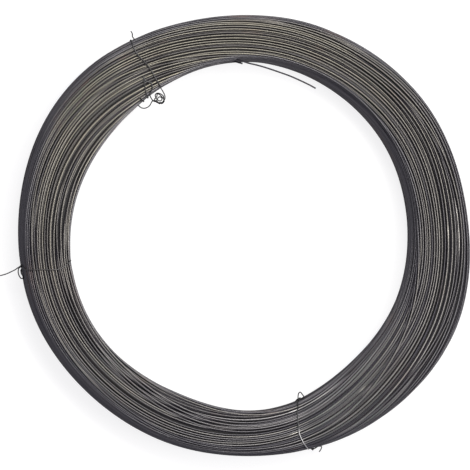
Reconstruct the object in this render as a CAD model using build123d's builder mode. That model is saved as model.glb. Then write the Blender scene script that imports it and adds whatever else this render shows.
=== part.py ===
from build123d import *
from math import cos, degrees, pi, radians, sin, sqrt, tan
import os

os.makedirs("parts", exist_ok=True)

# A coil of black annealed wire lying flat: a fat ring of many turns, bound in three places.
# The ring's axis is Z, its middle height is z = 0. X is to the right and Y away from the viewer,
# who looks down on the coil.

# The wire and the bundle its turns make, whose width is the mean one
wire_diameter = 1.6
bore_radius = 179.0
bundle_width = 54.5
coil_height = 50.0
shoulder_radius = 11.0

# The outside is a loose oval that lies off the eye's centre: angles are those of its bulges
outside_shift = 3.8
outside_shift_angle = 21.0
outside_oval = 5.1
outside_oval_angle = -12.5

# Sections drawn round the ring, and the stock left where a wall or foot is cut true after them
ring_sections = 24
cut_stock = 0.4

# Ridges on both ends, where the turns show: crests stand on the outline, grooves lie below it.
# The middle crest is a flat land, which stands proud of the ties at the lower end.
grooves_per_end = 10
groove_depth = 2.0
land_width = 4.0
lower_land_stand = 1.3

# The free end of the wire, which springs from the bore's upper shoulder into the eye
free_end_root_angle = 96.0
free_end_tip_angle = 63.7
free_end_reach = 6.0
free_end_lift = 4.0
free_end_root_depth = 1.4
free_end_root_turn = 30.0
free_end_sides = 6
free_end_bends = 6

# The tie wires, and the notches that take them in the bore wall and the lower land
tie_diameter = 0.9
tie_gap = 0.1
tie_sides = 6
notch_depth = 1.6
notch_width = 3.0
second_strand_offset = 8.0
upper_left_angle = 119.2
left_angle = 188.9
bottom_angle = 287.2

# The twist that closes each tie: its two ends wound round one another, bend by bend
twist_lead = 5.0
bends_per_turn = 7
twist_bends = 10
twist_standoff = 4.5

half_height = coil_height / 2
shoulder_length = shoulder_radius * pi / 2
foot_level = -half_height - lower_land_stand


def width_at(angle):
    """The bundle's width at an angle round the ring."""
    width = bundle_width + outside_shift * cos(radians(angle - outside_shift_angle))
    return width + outside_oval * cos(2 * radians(angle - outside_oval_angle))


def end_length(width):
    """The length of an end's outline from wall to wall, over both shoulders."""
    return 2 * shoulder_length + width - 2 * shoulder_radius


def end_point(width, distance, depth):
    """A point below the upper end's outline, measured along it from the bore wall."""
    level = half_height - shoulder_radius
    radius = shoulder_radius - depth
    if distance < shoulder_length:
        turn = distance / shoulder_radius
        centre = bore_radius + shoulder_radius
        return (centre - radius * cos(turn), level + radius * sin(turn))
    if distance > end_length(width) - shoulder_length:
        turn = (end_length(width) - distance) / shoulder_radius
        centre = bore_radius + width - shoulder_radius
        return (centre + radius * cos(turn), level + radius * sin(turn))
    return (bore_radius + shoulder_radius + distance - shoulder_length, half_height - depth)


def ridged_end(width, land_stand):
    """Crests and grooves across an upper end, with a flat land on the middle crest.

    The bore wall and a land that stands proud keep stock, because they are cut true later.
    """
    level = half_height - shoulder_radius
    points = [(bore_radius - cut_stock, level)]
    for i in range(1, 2 * grooves_per_end + 1):
        distance = end_length(width) * i / (2 * grooves_per_end)
        if i == grooves_per_end:
            points.append(end_point(width, distance - land_width / 2, -land_stand))
            points.append(end_point(width, distance + land_width / 2, -land_stand))
        else:
            points.append(end_point(width, distance, groove_depth * (i % 2)))
    return points


def radial_plane(angle):
    """An upright plane through the coil's axis: local x is the radius, local y is up."""
    a = radians(angle)
    return Plane(origin=(0, 0, 0), x_dir=(cos(a), sin(a), 0), z_dir=(sin(a), -cos(a), 0))


def tie_run(width):
    """The run of a tie round the bundle, tight over the crests and bending twice at each shoulder.

    Eight corners, from the foot of the upper inner shoulder over the top and back up the bore.
    """
    off = tie_gap + tie_diameter / 2
    inner = bore_radius + notch_depth - off
    outer = bore_radius + width + off
    top = half_height + off
    leg = (shoulder_radius + off) * (1 - tan(radians(22.5)))
    inner_leg = leg - notch_depth
    return [
        (inner, top - inner_leg),
        (inner + inner_leg, top),
        (outer - leg, top),
        (outer, top - leg),
        (outer, leg - top),
        (outer - leg, -top),
        (inner + inner_leg, -top),
        (inner, inner_leg - top),
    ]


def tie_points(angle, side, slope, offsets, first_tail, second_tail):
    """The path of one tie wire: tail, twist, round the bundle, twist, tail.

    The tie lies in the radial plane at the angle.
    side is -1 for a twist at the inner shoulder and 1 for one at the outer shoulder.
    slope tilts the twist from level, in degrees. There is one turn round the bundle for
    each sideways offset. Tails are steps from the end of the twist: away from the bundle,
    upwards and sideways.
    """
    first = 1 if side < 0 else 3
    around = []
    for z in offsets:
        strand_angle = angle - degrees(z / (bore_radius + bundle_width))
        run = tie_run(width_at(strand_angle))
        around += [(x, y, z) for x, y in run[first:] + run[:first]]

    half_width = width_at(angle) / 2
    reach = (shoulder_radius + twist_standoff) / sqrt(2)
    root_x = bore_radius + half_width + side * (half_width - shoulder_radius + reach)
    root_y = half_height - shoulder_radius + reach
    along_x = side * cos(radians(slope))
    along_y = sin(radians(slope))
    radius = (tie_diameter + tie_gap) / 2 / cos(pi / bends_per_turn)

    strands = []
    for phase in (0, pi):
        strand = []
        for i in range(twist_bends + 1):
            advance = twist_lead * i / bends_per_turn
            turn = 2 * pi * i / bends_per_turn + phase
            x = root_x + along_x * advance + along_y * radius * cos(turn)
            y = root_y + along_y * advance - along_x * radius * cos(turn)
            strand.append((x, y, radius * sin(turn)))
        strands.append(strand)

    length = twist_lead * twist_bends / bends_per_turn
    tip_x = root_x + along_x * length
    tip_y = root_y + along_y * length
    tails = []
    for tail in (first_tail, second_tail):
        tails.append([(tip_x + side * dx, tip_y + dy, dz) for dx, dy, dz in tail])
    return tails[0][::-1] + strands[0][::-1] + around + strands[1] + tails[1]


# The bundle of turns: a ring lofted in two halves, its bore turned true and its foot cut flat
with BuildPart() as coil:
    for half in range(2):
        for i in range(ring_sections // 2 + 1):
            angle = 180 * half + 360 * i / ring_sections
            upper_end = ridged_end(width_at(angle), 0)
            lower_end = ridged_end(width_at(angle), lower_land_stand + cut_stock)
            with BuildSketch(radial_plane(angle)):
                with BuildLine():
                    Polyline(*upper_end, *[(x, -y) for x, y in reversed(lower_end)], close=True)
                make_face()
        loft()
    Cylinder(bore_radius, 2 * coil_height, mode=Mode.SUBTRACT)
    split(bisect_by=Plane.XY.offset(foot_level), keep=Keep.TOP)

    # The notches that take the ties
    for angle, offset in (
        (upper_left_angle, 0),
        (upper_left_angle, -second_strand_offset),
        (left_angle, 0),
        (bottom_angle, 0),
    ):
        width = width_at(angle)
        with BuildSketch(radial_plane(angle).offset(offset)):
            with Locations((bore_radius, 0)):
                Rectangle(2 * notch_depth, coil_height)
            with Locations((bore_radius + width / 2, foot_level)):
                Rectangle(end_length(width) / grooves_per_end, 2 * lower_land_stand)
        extrude(amount=notch_width / 2, both=True, mode=Mode.SUBTRACT)

    # The free end
    with BuildLine() as free_end:
        turn = radians(free_end_root_turn)
        root_radius = bore_radius + shoulder_radius
        root_radius -= (shoulder_radius - free_end_root_depth) * cos(turn)
        root_height = half_height - shoulder_radius
        root_height += (shoulder_radius - free_end_root_depth) * sin(turn)
        stations = []
        for i in range(free_end_bends + 1):
            share = i / free_end_bends
            angle = radians(
                free_end_root_angle + share * (free_end_tip_angle - free_end_root_angle)
            )
            radius = root_radius
            radius += sin(share * pi / 2) * (bore_radius - free_end_reach - root_radius)
            height = root_height + free_end_lift * share
            stations.append((radius * cos(angle), radius * sin(angle), height))
        Polyline(*stations)
    with BuildSketch(Plane(origin=free_end.line @ 0, z_dir=free_end.line % 0)):
        RegularPolygon(wire_diameter / 2, free_end_sides)
    sweep(transition=Transition.RIGHT)

# Upper left tie: twice round the bundle and twisted at the inner edge, where one end bends
# back in a loop and the other hangs wide
with BuildPart() as tie_upper_left:
    with BuildLine(radial_plane(upper_left_angle)) as path:
        Polyline(
            *tie_points(
                upper_left_angle,
                -1,
                25.0,
                (0, -second_strand_offset),
                [(2.5, 0.5, 1.5), (7.5, -1.0, 1.5), (10.0, -2.5, -2.5), (8.5, -3.5, -7.5)],
                [(3.0, 0.0, -1.5), (5.5, -2.0, -9.0), (5.5, -4.5, -18.0), (1.5, -5.0, -25.0)],
            )
        )
    with BuildSketch(Plane(origin=path.line @ 0, z_dir=path.line % 0)):
        RegularPolygon(tie_diameter / 2, tie_sides)
    sweep(transition=Transition.RIGHT)

# Left tie: twisted at the outer edge, one end in a small loop, the other a long tail
with BuildPart() as tie_left:
    with BuildLine(radial_plane(left_angle)) as path:
        Polyline(
            *tie_points(
                left_angle,
                1,
                25.0,
                (0,),
                [(2.5, -0.5, -2.0), (1.5, -2.0, -6.0), (-2.5, -2.5, -8.5)],
                [(4.0, -0.5, 1.0), (12.0, -5.5, 2.0), (26.0, -12.0, 0.0)],
            )
        )
    with BuildSketch(Plane(origin=path.line @ 0, z_dir=path.line % 0)):
        RegularPolygon(tie_diameter / 2, tie_sides)
    sweep(transition=Transition.RIGHT)

# Bottom tie: twisted at the outer edge, both ends short
with BuildPart() as tie_bottom:
    with BuildLine(radial_plane(bottom_angle)) as path:
        Polyline(
            *tie_points(
                bottom_angle,
                1,
                30.0,
                (0,),
                [(2.0, -0.5, -2.0), (1.0, -1.5, -8.0), (3.5, -2.5, -12.0)],
                [(2.5, -0.5, 1.5), (4.0, -2.0, 5.0)],
            )
        )
    with BuildSketch(Plane(origin=path.line @ 0, z_dir=path.line % 0)):
        RegularPolygon(tie_diameter / 2, tie_sides)
    sweep(transition=Transition.RIGHT)

coil.part.label = "wire_coil"
export_step(coil.part, "parts/wire_coil.step")
tie_upper_left.part.label = "tie_upper_left"
export_step(tie_upper_left.part, "parts/tie_upper_left.step")
tie_left.part.label = "tie_left"
export_step(tie_left.part, "parts/tie_left.step")
tie_bottom.part.label = "tie_bottom"
export_step(tie_bottom.part, "parts/tie_bottom.step")
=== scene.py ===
import math

import bpy
import numpy as np
from mathutils import Matrix, Vector


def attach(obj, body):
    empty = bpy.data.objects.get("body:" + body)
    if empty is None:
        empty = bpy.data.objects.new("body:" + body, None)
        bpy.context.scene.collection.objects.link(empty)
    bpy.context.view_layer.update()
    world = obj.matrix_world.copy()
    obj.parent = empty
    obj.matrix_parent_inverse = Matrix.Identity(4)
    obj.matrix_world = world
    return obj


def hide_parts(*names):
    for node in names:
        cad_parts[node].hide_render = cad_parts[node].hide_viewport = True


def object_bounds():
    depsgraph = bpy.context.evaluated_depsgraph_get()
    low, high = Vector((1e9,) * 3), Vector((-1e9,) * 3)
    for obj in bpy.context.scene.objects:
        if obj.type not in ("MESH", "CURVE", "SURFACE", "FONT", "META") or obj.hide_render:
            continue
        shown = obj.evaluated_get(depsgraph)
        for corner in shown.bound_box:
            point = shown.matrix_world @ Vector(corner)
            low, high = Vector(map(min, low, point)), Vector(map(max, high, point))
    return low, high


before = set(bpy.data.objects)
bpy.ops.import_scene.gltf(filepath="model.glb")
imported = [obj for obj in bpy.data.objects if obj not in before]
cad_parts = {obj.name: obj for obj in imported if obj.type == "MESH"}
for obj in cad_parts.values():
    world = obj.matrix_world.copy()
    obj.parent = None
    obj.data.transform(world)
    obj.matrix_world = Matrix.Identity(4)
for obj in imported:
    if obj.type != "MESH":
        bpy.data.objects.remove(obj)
CAD_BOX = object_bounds()
scene = bpy.context.scene

# ---------------------------------------------------------------- camera
PX = 1.03e-3      # one pixel of the 470 pixel photograph at the coil's mid height
DISTANCE = 3.0
CAM_AZIMUTH = math.radians(197)
CAM_TILT = math.radians(13)
aim = Vector((-8.5e-3, 1.1e-3, 0))
away = Vector((
    math.cos(CAM_AZIMUTH) * math.sin(CAM_TILT),
    math.sin(CAM_AZIMUTH) * math.sin(CAM_TILT),
    math.cos(CAM_TILT),
))
right = Vector((0, 1, 0)).cross(away).normalized()
up = away.cross(right)
cam_data = bpy.data.cameras.new("camera")
cam_data.sensor_width = 36
cam_data.lens = 36 * DISTANCE / (470 * PX)
camera = bpy.data.objects.new("camera", cam_data)
turn = Matrix((right, up, away)).transposed().to_4x4()
camera.matrix_world = Matrix.Translation(aim + away * DISTANCE) @ turn
scene.collection.objects.link(camera)
scene.camera = camera


def seen(x, y, height):
    """The point at a height in millimetres that the camera sees at a pixel of the photograph."""
    eye = aim + away * DISTANCE
    ray = -away + right * ((x - 235) * PX / DISTANCE) + up * ((235 - y) * PX / DISTANCE)
    return np.array(eye + ray * ((height * 1e-3 - eye.z) / ray.z))


# ---------------------------------------------------------------- the bundle's section, by angle
WIRE = 0.8e-3                   # radius of the wire
TIE = 0.56e-3                  # radius of the tie wires
INNER_MEAN = 178.9e-3           # mean radius of the bundle's inner edge
OUTER_MEAN = 233.3e-3           # mean radius of its outer edge
# How the edges wander round the ring: waves, millimetres, phase
INNER_WAVES = ((1, 0.7, 1.6), (2, 4.0, 1.4), (3, 2.0, 3.6), (4, 1.6, 0.5), (5, 0.5, 5.4), (6, 0.8, 3.9),
               (7, 0.3, 2.8))
OUTER_WAVES = ((1, 3.8, 0.36), (2, 5.1, 5.85), (3, 0.4, 3.4), (4, 1.7, 3.65), (5, 0.7, 4.7), (6, 0.4, 2.75),
               (7, 0.5, 4.4), (8, 0.3, 3.8))
HALF_HEIGHT = 24.9e-3
MIDDLE_Z = -0.9e-3              # the bundle's middle height, its lowest turns on the floor
SHOULDER = 9e-3
BARREL = 0.15                   # how far the walls bulge between the ends
LEAN = math.radians(17)
TIE_ANGLES = np.radians([119.4, 125.0, 189.0, 287.8])


def edge(mean, wander, angle):
    """The radius of one of the bundle's edges at an angle."""
    return mean + 1e-3 * sum(amount * np.cos(m * angle - phase) for m, amount, phase in wander)


def pinch(angle):
    """How tightly the ties draw the bundle in, from 0 to 1."""
    gap = np.abs((np.asarray(angle)[..., None] - TIE_ANGLES + np.pi) % (2 * np.pi) - np.pi)
    return np.exp(-((gap / 0.055) ** 2)).sum(-1)


def section(angle):
    """Middle radius, half width, half height and corner radius of the bundle at an angle."""
    inner, outer = edge(INNER_MEAN, INNER_WAVES, angle), edge(OUTER_MEAN, OUTER_WAVES, angle)
    half_width = (outer - inner) / 2
    half_height = HALF_HEIGHT + 0.45e-3 * np.sin(3 * angle + 1)
    corner = np.minimum(SHOULDER, half_width * 0.8)
    return (inner + outer) / 2, half_width, half_height, corner


def outside(r, z, shape):
    """Distance outside the section's outline, and the outward direction."""
    middle, half_width, half_height, corner = shape
    x, y = r - middle, z
    qx, qy = np.abs(x) - (half_width - corner), np.abs(y) - (half_height - corner)
    ox, oy = np.maximum(qx, 0), np.maximum(qy, 0)
    length = np.hypot(ox, oy)
    flat = np.minimum(np.maximum(qx, qy), 0)
    on_x = np.where(length > 0, ox / np.maximum(length, 1e-12), (qx > qy) * 1.0)
    on_y = np.where(length > 0, oy / np.maximum(length, 1e-12), (qx <= qy) * 1.0)
    return length + flat - corner, on_x * np.sign(x), on_y * np.sign(y)


def on_outline(share, shape, depth):
    """The point at a share of the way round the outline, sunk by depth. 0 is the bore wall's middle,
    a quarter or so is the top, a half the outer wall."""
    middle, half_width, half_height, corner = np.broadcast_arrays(*shape)
    a, b = half_height - corner, half_width - corner
    arc = corner * np.pi / 2
    runs = [a, arc, 2 * b, arc, 2 * a, arc, 2 * b, arc, a]
    ends = np.cumsum(runs, axis=0)
    s = (share % 1.0) * ends[-1]
    r, z = np.zeros_like(s), np.zeros_like(s)
    c = corner - depth
    start = np.zeros_like(s)
    for i, length in enumerate(runs):
        hit = (s >= start) & (s < ends[i])
        t = np.where(hit, s - start, 0)
        w = t / np.maximum(corner, 1e-9)
        if i == 0:
            p = (-half_width + depth + 0 * t, t)
        elif i == 1:
            p = (-b - c * np.cos(w), a + c * np.sin(w))
        elif i == 2:
            p = (-b + t, half_height - depth + 0 * t)
        elif i == 3:
            p = (b + c * np.sin(w), a + c * np.cos(w))
        elif i == 4:
            p = (half_width - depth + 0 * t, a - t)
        elif i == 5:
            p = (b + c * np.cos(w), -a - c * np.sin(w))
        elif i == 6:
            p = (b - t, -half_height + depth + 0 * t)
        elif i == 7:
            p = (-b - c * np.sin(w), -a - c * np.cos(w))
        else:
            p = (-half_width + depth + 0 * t, -a + t)
        r = np.where(hit, p[0], r)
        z = np.where(hit, p[1], z)
        start = ends[i]
    return middle + r, z


def bulged(r, z, angle, shape):
    """Points in space from places in the section, whose walls bulge out between the ends, most on
    the side that faces the camera, and which the ties draw in."""
    bulge = BARREL * (1 - np.sign(r - shape[0]) * np.cos(angle - LEAN)) / 2
    squeeze = np.minimum(pinch(angle), 1)
    r = shape[0] + (r - shape[0]) * (1 - bulge * (z / shape[2]) ** 2) * (1 - 0.015 * squeeze)
    z = z * (1 - 0.048 * squeeze) + MIDDLE_Z
    return np.stack([r * np.cos(angle), r * np.sin(angle), z + 0 * r], -1)


def surface(share, angle, lift):
    """Points on the bundle at shares of the way round its section, raised by lift."""
    share, angle = np.broadcast_arrays(share, angle)
    shape = section(angle)
    r, z = on_outline(share, shape, -lift)
    return bulged(r, z, angle, shape)


# ---------------------------------------------------------------- the turns, laid and settled
STATIONS = 192
LAYERS_DEEP = 3.6e-3            # how deep the loose outer turns go before the plain core
RIBBONS = 9                    # groups of turns that cross over the others
STRAY = 0.03                    # how far they stray, as a share of the outline
UNDER = 92                      # turns beneath
GIRTH = 0.196                   # once round the section's outline
WALL = 0.085                     # share of the outline that the middle of each wall takes up
PAINTED_HIGHLIGHTS = ((457, 212, 0.009, 2.5), (458.5, 238, 0.012, 3.0), (449, 232, 0.006, 2.0), (362, 391, 0.003, 2.2),
         (367, 389, 0.003, 2.2), (295, 411, 0.005, 2.5), (296.5, 435, 0.003, 3.0))   # painted highlights, where turns catch the light: pixel x, pixel y, length in metres, gain
ROLL = (1, 0.11, 3.8), (3, 0.016, 1.3)   # the lay rolls outwards and back: waves, share, phase
rng = np.random.default_rng(11)
theta = np.linspace(0, 2 * np.pi, STATIONS, endpoint=False)


def waves(count, low, high, size):
    """Slow random waves along the turns, one row a turn."""
    out = np.zeros((count, STATIONS))
    for m in range(low, high + 1):
        phase = rng.uniform(0, 2 * np.pi, (count, 1))
        out += rng.normal(0, size / m, (count, 1)) * np.cos(m * theta + phase)
    return out


def relief(share):
    """Shallow hollows between groups of turns."""
    out = 0
    for k, m, p, h in ((9, 1, 0.3, 0.3), (14, -2, 1.9, 0.3), (19, 1, 4.0, 0.3), (25, 2, 5.1, 0.3),
                       (31, -1, 2.2, 0.3)):
        out = out + h * np.cos(k * 2 * np.pi * share + m * theta + p)
    return np.clip(out, 0, 1.0) * 0.6e-3 * (1 - wall(share))


def wall(share):
    """1 along the two walls, where the turns lie close and even, and 0 at the ends."""
    away = np.minimum(np.abs((share + 0.5) % 1 - 0.5), np.abs((share % 1) - 0.5))
    return np.clip((WALL - away) / 0.02, 0, 1)


def ribbons(count):
    """Turns that cross over the others, in groups of a few side by side."""
    rows = []
    for k in rng.permutation(count):
        middle = (k + rng.uniform(-0.3, 0.3)) / count
        drift = waves(1, 1, 4, STRAY)[0]
        at = 0.0
        for _ in range(rng.integers(1, 5)):
            rows.append(middle + at / GIRTH + drift + waves(1, 1, 3, 0.0008)[0])
            at += 2 * WIRE + rng.uniform(1.0e-3, 2.0e-3)
    return np.array(rows)


def laid():
    """Turns side by side, one or two together with a gap between."""
    places, at = [], 0.0
    while at < 1:
        for _ in range(rng.choice([1, 2], p=[0.93, 0.07])):
            places.append(at)
            at += 2.04 * WIRE / GIRTH
        at += rng.uniform(0.9e-3, 1.7e-3) / GIRTH
    return np.array(places)[:, None] + waves(len(places), 1, 4, 0.002)


def laid_over(share, least):
    """How deep each turn lies, where it dives under the turns that come before it in the rows."""
    depth = np.zeros_like(share)
    for i in range(len(share)):
        gap = ((share[:i] - share[i] + 0.5) % 1 - 0.5) * GIRTH
        drop = np.sqrt(np.clip((2 * WIRE) ** 2 - gap**2, 0, None))
        under = np.where(drop > 0, depth[:i] + drop, 0)
        depth[i] = np.maximum(least[i], under.max(0, initial=0))
    return depth


upper = np.concatenate([ribbons(RIBBONS), laid()])
under = (np.arange(UNDER) / UNDER)[:, None] + waves(UNDER, 1, 4, 0.006)
share = np.concatenate([upper, under])
TURNS = len(share)
least = np.full((TURNS, STATIONS), WIRE)
least[:len(upper)] += np.abs(waves(len(upper), 1, 4, 0.25e-3))
least[len(upper):] = 2.4e-3
for k, m, p, h in ((2, 1, 0.4, 0.008), (3, -2, 2.0, 0.004), (5, 3, 5.0, 0.002), (7, 1, 3.3, 0.0015)):
    share = share + h * np.cos(k * 2 * np.pi * share + m * theta + p)
for m, h, p in ROLL:
    share = share + h * np.cos(m * theta - p) * (0.85 - 0.15 * np.cos(4 * np.pi * share))
depth = laid_over(share, least) + relief(share)
for _ in range(6):
    depth = (np.roll(depth, 1, 1) + 2 * depth + np.roll(depth, -1, 1)) / 4
shape = [np.broadcast_to(v, (TURNS, STATIONS)) for v in section(theta)]
r, z = on_outline(share, shape, np.clip(depth, WIRE, LAYERS_DEEP + WIRE))


# ---------------------------------------------------------------- meshes
def tubes(name, paths, radius, sides, closed, tones):
    """One mesh of many round wires, each its own strip of the map, with a tone a wire."""
    verts, faces, coords, colours = [], [], [], []
    base = 0
    for n, path in enumerate(paths):
        path = np.asarray(path, float)
        count = len(path)
        if closed:
            along = np.roll(path, -1, 0) - np.roll(path, 1, 0)
        else:
            along = np.gradient(path, axis=0)
        along /= np.linalg.norm(along, axis=1)[:, None]
        if closed:
            side = np.cross(along, (0, 0, 1.0))
            side /= np.linalg.norm(side, axis=1)[:, None]
        else:
            side = np.zeros_like(path)
            last = np.cross(along[0], (0.3, 0.2, 1.0))
            for i in range(count):
                last = last - along[i] * (last @ along[i])
                last = last / np.linalg.norm(last)
                side[i] = last
        over = np.cross(along, side)
        turn = np.arange(sides) * 2 * np.pi / sides
        thick = np.broadcast_to(np.asarray(radius, float), (count,))[:, None, None]
        ring = path[:, None] + thick * (
            side[:, None] * np.cos(turn)[None, :, None] + over[:, None] * np.sin(turn)[None, :, None])
        verts.append(ring.reshape(-1, 3))
        rows = count if closed else count - 1
        i, j = np.meshgrid(np.arange(rows), np.arange(sides), indexing="ij")
        i2, j2 = (i + 1) % count, (j + 1) % sides
        quad = np.stack([i * sides + j, i * sides + j2, i2 * sides + j2, i2 * sides + j], -1)
        faces.append(quad.reshape(-1, 4) + base)
        low, high = (n + 0.04) / len(paths), (n + 0.96) / len(paths)
        u0, u1 = i / rows, (i + 1) / rows
        v0, v1 = low + (high - low) * j / sides, low + (high - low) * (j + 1) / sides
        coords.append(np.stack([u0, v0, u0, v1, u1, v1, u1, v0], -1).reshape(-1, 2))
        row = np.broadcast_to(tones[n], (count, 4))
        colours.append(np.repeat(row, sides, 0))
        base += count * sides
    verts, faces = np.concatenate(verts), np.concatenate(faces)
    caps = []
    if not closed:
        start = 0
        for path in paths:
            caps.append([start + k for k in range(sides)][::-1])
            end = start + (len(path) - 1) * sides
            caps.append([end + k for k in range(sides)])
            start += len(path) * sides
    mesh = bpy.data.meshes.new(name)
    loops = len(faces) * 4 + sum(len(c) for c in caps)
    mesh.vertices.add(len(verts))
    mesh.vertices.foreach_set("co", verts.ravel())
    mesh.loops.add(loops)
    flat = list(faces.ravel()) + [v for c in caps for v in c]
    mesh.loops.foreach_set("vertex_index", np.array(flat, np.int32))
    starts = list(range(0, len(faces) * 4, 4))
    at = len(faces) * 4
    for c in caps:
        starts.append(at)
        at += len(c)
    mesh.polygons.add(len(starts))
    mesh.polygons.foreach_set("loop_start", np.array(starts, np.int32))
    mesh.update(calc_edges=True)
    uv = mesh.uv_layers.new(name="OFBake")
    full = np.concatenate(coords + [np.full((loops - len(faces) * 4, 2), 0.001)])
    uv.data.foreach_set("uv", full.ravel())
    tone = mesh.attributes.new("tone", "FLOAT_COLOR", "POINT")
    tone.data.foreach_set("color", np.concatenate(colours).astype(np.float32).ravel())
    mesh.polygons.foreach_set("use_smooth", np.ones(len(starts), bool))
    mesh.validate()
    obj = bpy.data.objects.new(name, mesh)
    scene.collection.objects.link(obj)
    return obj


def smooth_path(points, step=0.6e-3):
    """A smooth curve through points, with a point about every step."""
    p = np.array(points, float)
    ends = np.concatenate([[2 * p[0] - p[1]], p, [2 * p[-1] - p[-2]]])
    out = []
    for i in range(len(p) - 1):
        a, b, c, d = ends[i:i + 4]
        k = [0.0]
        for s, e in ((a, b), (b, c), (c, d)):
            k.append(k[-1] + max(np.linalg.norm(e - s), 1e-7) ** 0.5)
        n = max(2, int(np.linalg.norm(c - b) / step))
        for t in np.linspace(k[1], k[2], n, endpoint=False):
            ab = a + (b - a) * (t - k[0]) / (k[1] - k[0])
            bc = b + (c - b) * (t - k[1]) / (k[2] - k[1])
            cd = c + (d - c) * (t - k[2]) / (k[3] - k[2])
            abc = ab + (bc - ab) * (t - k[0]) / (k[2] - k[0])
            bcd = bc + (cd - bc) * (t - k[1]) / (k[3] - k[1])
            out.append(abc + (bcd - abc) * (t - k[1]) / (k[2] - k[1]))
    out.append(p[-1])
    return np.array(out)


def tone_rows(count):
    """Brightness, rust and warmth of each wire."""
    return np.stack([rng.uniform(0, 1, count), rng.uniform(0, 1, count) ** 2,
                     rng.uniform(0, 1, count), np.ones(count)], -1)


pieces = []
buried, lie_r, lie_z = outside(r, z, shape)
# painted shade: a turn's colour fades to near-black as it lies about 1.4 to 2.9 mm inside the outline, sooner towards
# the lower right
clear_of_painted_shade = np.clip((2.9e-3 - 0.6e-3 * np.clip(np.cos(theta - 5.5), 0, 1) + buried) / 1.5e-3, 0, 1)
# painted shade: turns on the walls and underside, where the outline faces sideways or down, are darkened and lose their
# warmth
flank = np.clip((np.where(lie_r > 0, 0.92, 0.7) - lie_z) / 0.12, 0, 1)
turns = bulged(r, z, theta, shape)
group = np.argsort(share[:, 0])
across = (r - shape[0]) / shape[1]          # -1 at the bore wall and 1 at the outer wall
rim = np.clip((across - 0.5) / 0.5, 0, 1)
tones = np.repeat(tone_rows(TURNS)[:, None], STATIONS, 1)
tones[..., 0] = np.where(tones[..., 0] < 0.06, 0.25, 0.45 + 0.45 * tones[..., 0])
tones[..., 0] = np.clip(tones[..., 0] + waves(TURNS, 1, 5, 0.1), 0, 1) * (1 - 0.35 * flank)
# painted light: brightness rises towards the top of the ring, about 75 degrees, and falls towards the bottom
tones[..., 0] *= 1.05 + 0.12 * np.cos(theta - 1.3) + 0.06 * np.cos(2 * theta - 5.2)
# painted highlight and shade: towards the lower right the spread of the turns' brightness is widened
lower_right = np.clip(np.cos(theta - 5.5), 0, 1) ** 2
tones[..., 0] += 0.7 * (tones[..., 0] - 0.62) * lower_right
# painted shade: turns towards the outer edge are darkened, most on the right and least at the lower left, and lose
# warmth. Warmth is otherwise random per wire and rises towards the upper left.
tones[..., 0] *= 1 - (0.35 + 0.2 * np.cos(theta - 1.0) + 0.2 * lower_right) * rim
tones[..., 2] = np.clip(0.35 + 0.3 * np.cos(theta - 2.0) - 0.35 * rim + 0.3 * tones[..., 2], 0, 1)
tones[..., 2] *= 1 - flank
# the alpha carries the painted shade of buried turns
tones[..., 3] = clear_of_painted_shade
# painted highlights: the top turn nearest each place is made brighter along a short stretch
for x, y, length, gain in PAINTED_HIGHLIGHTS:
    place = seen(x, y, 24)
    angle = math.atan2(place[1], place[0]) % (2 * math.pi)
    at = round(angle / (2 * math.pi) * STATIONS) % STATIONS
    miss = np.abs(r[:, at] - math.hypot(place[0], place[1])) + (z[:, at] < 0) + 2 * np.maximum(-buried[:, at] - 1e-3, 0)
    gap = (theta - angle + np.pi) % (2 * np.pi) - np.pi
    tones[np.argmin(miss), :, 0] += gain * np.exp(-((gap / (length / 0.22)) ** 2))
for n, part in enumerate(np.array_split(group, 4)):
    pieces.append(tubes(f"coil_turns_{n + 1}", turns[part], WIRE, 6, True, tones[part]))
print("turns done")


def core():
    """The plain body of the turns beneath, just under the loose outer ones; its near-black colour is painted shade."""
    steps, ring = 144, 64
    a = np.linspace(0, 2 * np.pi, steps, endpoint=False)
    s = np.linspace(0, 1, ring, endpoint=False)
    sections = [np.broadcast_to(v[:, None], (steps, ring)) for v in section(a)]
    cr, cz = on_outline(np.broadcast_to(s, (steps, ring)), sections, LAYERS_DEEP - 0.3e-3)
    co = bulged(cr, cz, a[:, None], sections).reshape(-1, 3)
    faces = []
    for i in range(steps):
        for j in range(ring):
            i2, j2 = (i + 1) % steps, (j + 1) % ring
            faces.append((i * ring + j, i2 * ring + j, i2 * ring + j2, i * ring + j2))
    mesh = bpy.data.meshes.new("coil_core")
    mesh.from_pydata(co.tolist(), [], faces)
    mesh.polygons.foreach_set("use_smooth", np.ones(len(faces), bool))
    obj = bpy.data.objects.new("coil_core", mesh)
    scene.collection.objects.link(obj)
    return obj


core_piece = core()


# ---------------------------------------------------------------- the ties and the free ends
def free(*places):
    """Points off the bundle, from pixels of the photograph and heights."""
    return [seen(*place) for place in places]


def spot(x, y):
    """The share and angle of the surface point that the camera sees at a pixel."""
    guess = seen(x, y, 15)
    angle = math.atan2(guess[1], guess[0]) + np.linspace(-0.06, 0.06, 121)[:, None]
    share = np.linspace(0.0, 0.5, 401)[None]
    point = surface(share, angle, TIE)
    off = point - np.array(aim + away * DISTANCE)
    scale = -DISTANCE / PX / (off @ np.array(away))
    miss = np.hypot(235 + off @ np.array(right) * scale - x, 235 - off @ np.array(up) * scale - y)
    cost = np.clip(miss - 0.25, 0, None) * 0.02 - off @ np.array(away)
    i, j = np.unravel_index(np.argmin(cost), cost.shape)
    return share[0, j], angle[i, 0] % (2 * math.pi)


def along(places, lift=TIE):
    """Points that follow the bundle's surface through shares and angles."""
    out = []
    for (s0, a0), (s1, a1) in zip(places, places[1:]):
        n = max(1, math.ceil(abs(s1 - s0) / 0.02))
        t = np.linspace(0, 1, n, endpoint=False)
        out += list(surface(s0 + (s1 - s0) * t, a0 + (a1 - a0) * t, lift))
    return out + [surface(*places[-1], lift)]


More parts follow.
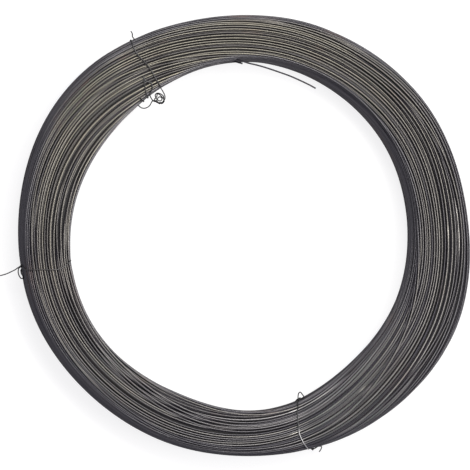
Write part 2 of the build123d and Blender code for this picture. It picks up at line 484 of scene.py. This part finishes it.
def twist(places, rounds, phase):
    """One strand of a pair wound round one another along a line of places."""
    line = smooth_path(free(*places))
    forward = np.gradient(line, axis=0)
    forward /= np.linalg.norm(forward, axis=1)[:, None]
    side = np.cross(forward, (0.0, 0.0, 1.0))
    side /= np.linalg.norm(side, axis=1)[:, None]
    over = np.cross(forward, side)
    turn = (2 * math.pi * rounds * np.linspace(0, 1, len(line)) + phase)[:, None]
    return list(line + 1.04 * TIE * (side * np.cos(turn) + over * np.sin(turn)))


def past(place):
    """The same place once more round the section."""
    return place[0] + 1, place[1]


def tie_a():
    knot = ((152.4, 100.6, 13), (156, 101.4, 14), (158.6, 102.9, 15), (161, 103.3, 15), (163.3, 101.8, 16),
            (164.3, 99, 17))
    hang, edge = spot(139.5, 97.5), spot(146.4, 94.6)
    top = [spot(*p) for p in ((160.5, 87.5), (156, 78.5), (153, 73), (149, 67), (145.5, 62.5), (140.5, 58),
                              (136, 52), (133, 46), (131.6, 40.5))]
    back = [spot(*p) for p in ((145, 86), (143.5, 76.5), (145.8, 80.8), (151.5, 82.6), (152.5, 88),
                               (150, 94.2))]
    return (
        free((130.8, 31, 1), (132.2, 33.5, 0.5), (132.4, 36.5, -1))
        + along([(0.54, math.radians(119.2)), past(hang)])
        + free((137.3, 102, 15), (138.6, 105.5, 13), (142, 108, 12), (145.5, 108.1, 12), (149.5, 105.8, 12))
        + twist(knot, 3, 0)
        + free((164.9, 96, 18), (163.2, 92, 18))
        + along(top + [(0.56, top[-1][1] - 0.022), past(edge)])
        + along(back)
        + free((150.8, 97.5, 15))
        + twist(knot, 3, math.pi)
        + free((163.4, 96.2, 18), (160.6, 93.9, 18), (157.2, 93.2, 17), (155.3, 94.8, 16), (156, 97.8, 15),
               (158.2, 100.4, 15), (160.8, 100.8, 16), (162, 98.7, 16), (160.4, 96.9, 16), (158.2, 97.6, 15),
               (157.2, 99.8, 14), (155.2, 101.3, 13), (154.6, 99.2, 13), (156.8, 96.6, 14), (157.4, 93.9, 15),
               (159.6, 94.6, 17), (162.4, 97.4, 18), (164.1, 100.4, 18), (162.6, 103.2, 17),
               (160.2, 102.2, 16))
    )


def tie_b():
    knot = (22.2, 265.2, 3), (18.2, 268.2, 2)
    top = [spot(*p) for p in ((25, 269.6), (32, 269.8), (42, 269.7), (52, 269.6), (58, 269.2), (62.5, 267.8),
                              (66, 265.2), (69.3, 262))]
    foot = (0.56, math.radians(189.3))
    return (
        free((20.9, 270.8, 3), (21.3, 273.6, 2), (22.9, 276.2, 1), (23.2, 278.2, 0), (21.4, 278.5, 0),
             (19.4, 276.2, 1), (18.2, 272.4, 2))
        + twist(knot[::-1], 1.5, 0)
        + along(top)
        + free((70.6, 260.9, 19), (70.6, 260.3, 15))
        + along([(-0.02, top[-1][1]), (foot[0] - 1, foot[1])])
        + twist(knot, 1.5, math.pi)
        + free((15.4, 269.6, 2), (11, 271.8, 3), (6.5, 273.8, 4), (1.5, 275.3, 4), (-4, 275.9, 4),
               (-9, 275.4, 4))
    )


def tie_c():
    knot = (310, 447.6, 4), (313, 449.6, 2)
    top = [spot(*p) for p in ((308.3, 449.3), (306, 446.4), (303.8, 443.2), (301.8, 439.5), (299.6, 434),
                              (298.8, 428), (298, 422), (297.8, 412), (298, 405), (298.1, 400.5))]
    foot = (0.56, math.radians(287.6))
    return (
        free((319.2, 451.8, -13), (320.9, 449.3, -13), (321.6, 446.8, -12), (318.5, 446.3, -8),
             (315.4, 448.0, -3))
        + twist(knot[::-1], 1.5, 0)
        + along(top)
        + free((298.1, 396, 19), (298.8, 393, 20), (300.2, 392.1, 20), (302.2, 394.3, 18), (304, 397, 14))
        + along([(0.0, math.radians(290)), (-0.06, math.radians(290.8)), (-0.15, math.radians(288.4)),
                 (foot[0] - 1, foot[1])])
        + twist(knot, 1.5, math.pi)
        + free((313.4, 447.6, 3), (312, 446.6, 5))
    )


ties = {}
for name, route in (("tie_upper_left", tie_a()), ("tie_left", tie_b()), ("tie_bottom", tie_c())):
    line = smooth_path(route)
    tie_angle = np.arctan2(line[:, 1], line[:, 0])
    tie_shape = section(tie_angle)
    tie_r = np.hypot(line[:, 0], line[:, 1])
    clear = outside(tie_r, line[:, 2] - MIDDLE_Z, tie_shape)[0]
    # painted light: a strand is lighter where it lies on the bundle's top and stays dark where it hangs free; on
    # tie_bottom it grows lighter still towards the outside, a painted highlight
    painted_light_on_bundle = np.clip((1.6e-3 - clear) / 0.8e-3, 0, 1) * (line[:, 2] > 0)
    painted_light_on_bundle *= np.clip((0.99 - np.abs(tie_r - tie_shape[0]) / tie_shape[1]) / 0.04, 0, 1)
    shade = np.tile((0.03, 0.2, 0.5, 1.0), (len(line), 1))
    shade[:, 0] += (0.09 + 0.05 * np.sin(np.arange(len(line)) / 9)) * painted_light_on_bundle
    if name == "tie_bottom":
        shade[:, 0] += np.clip((tie_r - tie_shape[0]) / 4e-3, 0, 0.75) * painted_light_on_bundle
    ties[name] = tubes(f"{name}_wire", [line], TIE, 8, False, [shade])

ends = [
    free((232, 58.5, 10), (240, 60.3, 14), (247, 62.7, 16.3), (260, 65.9, 17), (270, 69, 17.7), (280, 72.4, 18.3),
         (290, 76, 19), (300, 80.4, 19.6), (309, 84.7, 20), (315.6, 88.3, 20.3)),
    free((226, 59.5, 2), (233, 60.8, 4), (238, 62.4, 6), (242.6, 63.6, 7)),
]
lines = [smooth_path(route, 1e-3) for route in ends]
# painted shade: the free ends get no brightness and a quarter of the buried near-black colour
pieces.append(tubes("coil_free_ends", lines, WIRE, 12, False, [np.array([0.0, 0.1, 0.6, 0.75])] * 2))

# ---------------------------------------------------------------- materials
def material(name):
    mat = bpy.data.materials.new(name)
    mat.use_nodes = True
    nodes, links = mat.node_tree.nodes, mat.node_tree.links
    return mat, nodes, links, nodes["Principled BSDF"]


def wire_material(name, dark, light, warm, rust, rough, stretch, vary):
    mat, nodes, links, bsdf = material(name)
    tone = nodes.new("ShaderNodeAttribute")
    tone.attribute_name = "tone"
    split = nodes.new("ShaderNodeSeparateColor")
    links.new(tone.outputs["Color"], split.inputs[0])
    place = nodes.new("ShaderNodeTexCoord")
    slow = nodes.new("ShaderNodeTexNoise")
    slow.inputs["Scale"].default_value = 22
    slow.inputs["Detail"].default_value = 5
    links.new(place.outputs["Object"], slow.inputs["Vector"])
    along = nodes.new("ShaderNodeMapping")
    along.inputs["Scale"].default_value = (*stretch, 1)
    links.new(place.outputs["UV"], along.inputs["Vector"])
    fine = nodes.new("ShaderNodeTexNoise")
    fine.inputs["Scale"].default_value = 1
    fine.inputs["Detail"].default_value = 1.5
    links.new(along.outputs[0], fine.inputs["Vector"])

    def math_node(kind, a, b, clamp=False):
        n = nodes.new("ShaderNodeMath")
        n.operation = kind
        n.use_clamp = clamp
        for k, v in enumerate((a, b)):
            if isinstance(v, (int, float)):
                n.inputs[k].default_value = v
            else:
                links.new(v, n.inputs[k])
        return n.outputs[0]

    def mix(fac, a, b):
        n = nodes.new("ShaderNodeMix")
        n.data_type = "RGBA"
        n.clamp_factor = False
        links.new(fac, n.inputs["Factor"])
        for k, v in (("A", a), ("B", b)):
            socket = [s for s in n.inputs if s.name == k and s.type == "RGBA"][0]
            if isinstance(v, tuple):
                socket.default_value = (*v, 1)
            else:
                links.new(v, socket)
        return [s for s in n.outputs if s.type == "RGBA"][0]

    shade = math_node("MULTIPLY", split.outputs[0], 0.9)
    shade = math_node("ADD", shade, math_node("MULTIPLY", slow.outputs[0], 0.2 * vary))
    shade = math_node("ADD", shade, math_node("MULTIPLY", fine.outputs[0], 0.2 * vary))
    shade = math_node("SUBTRACT", shade, 0.15 * vary)
    shade = math_node("MAXIMUM", shade, 0.0)
    colour = mix(shade, dark, mix(split.outputs[2], light, warm))
    rusty = math_node("SUBTRACT", slow.outputs[0], 0.52, True)
    rusty = math_node("MULTIPLY", rusty, 5.0, True)
    rusty = math_node("MULTIPLY", rusty, split.outputs[1], True)
    rusty = math_node("MULTIPLY", rusty, 0.3)
    colour = mix(rusty, colour, rust)
    # painted shade: turns with a low tone alpha, the buried ones, take this near-black colour
    colour = mix(tone.outputs["Alpha"], (0.028, 0.026, 0.032), colour)
    links.new(colour, bsdf.inputs["Base Color"])
    gloss = math_node("MULTIPLY", fine.outputs[0], 0.25)
    gloss = math_node("ADD", gloss, math_node("MULTIPLY", slow.outputs[0], 0.12))
    gloss = math_node("ADD", gloss, rough, True)
    links.new(gloss, bsdf.inputs["Roughness"])
    bsdf.inputs["Metallic"].default_value = 0.8
    bump = nodes.new("ShaderNodeBump")
    bump.inputs["Strength"].default_value = 0.2
    bump.inputs["Distance"].default_value = 0.00012
    links.new(fine.outputs[0], bump.inputs["Height"])
    links.new(bump.outputs[0], bsdf.inputs["Normal"])
    return mat


# the dark end is tinted blue as painted shade
steel = wire_material("annealed_wire", (0.04, 0.039, 0.048), (0.213, 0.209, 0.214), (0.234, 0.22, 0.17),
                      (0.2, 0.1, 0.05), 0.2, (120, 100), 1)
for p in pieces:
    p.data.materials.append(steel)
# painted shade: the core is coloured near-black and matte to stand for the shade deep among the turns
core_mat, nodes, links, bsdf = material("coil_core")
noise = nodes.new("ShaderNodeTexNoise")
noise.inputs["Scale"].default_value = 300
ramp = nodes.new("ShaderNodeValToRGB")
ramp.color_ramp.elements[0].color = (0.008, 0.008, 0.009, 1)
ramp.color_ramp.elements[1].color = (0.022, 0.021, 0.02, 1)
links.new(noise.outputs[0], ramp.inputs[0])
links.new(ramp.outputs[0], bsdf.inputs["Base Color"])
bsdf.inputs["Roughness"].default_value = 0.8
core_piece.data.materials.append(core_mat)
pieces.append(core_piece)

for p in pieces:
    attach(p, "root")
    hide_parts("wire_coil")
# its light end, a pale grey, serves the painted light and painted highlight on the strands
tie_steel = wire_material("tie_wire", (0.008, 0.008, 0.009), (0.6, 0.6, 0.6), (0.6, 0.6, 0.58),
                          (0.12, 0.07, 0.04), 0.25, (90, 4), 0.2)
for name, p in ties.items():
    p.data.materials.append(tie_steel)
    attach(p, "root")
    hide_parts(name)

# ---------------------------------------------------------------- floor and light
floor_z = CAD_BOX[0][2] if not hasattr(CAD_BOX[0], "z") else CAD_BOX[0].z
mesh = bpy.data.meshes.new("floor")
mesh.from_pydata([(-6, -6, floor_z), (6, -6, floor_z), (6, 6, floor_z), (-6, 6, floor_z)], [], [(0, 1, 2, 3)])
floor = bpy.data.objects.new("floor", mesh)
scene.collection.objects.link(floor)
floor_mat, nodes, links, bsdf = material("floor")
bsdf.inputs["Base Color"].default_value = (0.25, 0.25, 0.25, 1)
bsdf.inputs["Roughness"].default_value = 0.9
lift = nodes.new("ShaderNodeEmission")
lift.inputs["Strength"].default_value = 0.45
seen = nodes.new("ShaderNodeLightPath")
strength = nodes.new("ShaderNodeMath")
strength.operation = "MULTIPLY"
strength.inputs[1].default_value = 0.8
links.new(seen.outputs["Is Camera Ray"], strength.inputs[0])
links.new(strength.outputs[0], lift.inputs["Strength"])
both = nodes.new("ShaderNodeAddShader")
links.new(bsdf.outputs[0], both.inputs[0])
links.new(lift.outputs[0], both.inputs[1])
links.new(both.outputs[0], nodes["Material Output"].inputs["Surface"])
floor.data.materials.append(floor_mat)

world = bpy.data.worlds.new("world")
scene.world = world
world.use_nodes = True
nodes, links = world.node_tree.nodes, world.node_tree.links
sky = nodes["Background"]
sky.inputs["Color"].default_value = (0.9, 0.87, 1.0, 1)
sky.inputs["Strength"].default_value = 0.6
white = nodes.new("ShaderNodeBackground")
white.inputs["Strength"].default_value = 1.0
seen = nodes.new("ShaderNodeLightPath")
pick = nodes.new("ShaderNodeMixShader")
links.new(seen.outputs["Is Camera Ray"], pick.inputs[0])
links.new(sky.outputs[0], pick.inputs[1])
links.new(white.outputs[0], pick.inputs[2])
links.new(pick.outputs[0], nodes["World Output"].inputs["Surface"])


def lamp(name, azimuth, elevation, distance, size, watts, colour):
    data = bpy.data.lights.new(name, "AREA")
    data.size = size
    data.energy = watts
    data.color = colour
    obj = bpy.data.objects.new(name, data)
    a, e = math.radians(azimuth), math.radians(elevation)
    spot = Vector((math.cos(a) * math.cos(e), math.sin(a) * math.cos(e), math.sin(e))) * distance
    obj.location = spot
    obj.rotation_euler = (-spot).to_track_quat("-Z", "Y").to_euler()
    scene.collection.objects.link(obj)


for n, (azimuth, watts) in enumerate(((-12, 20), (40, 26), (92, 21))):
    lamp(f"key_{n + 1}", azimuth, 62, 2.4, 0.9, watts, (1.0, 0.98, 0.93))
scene.view_settings.view_transform = "Standard"
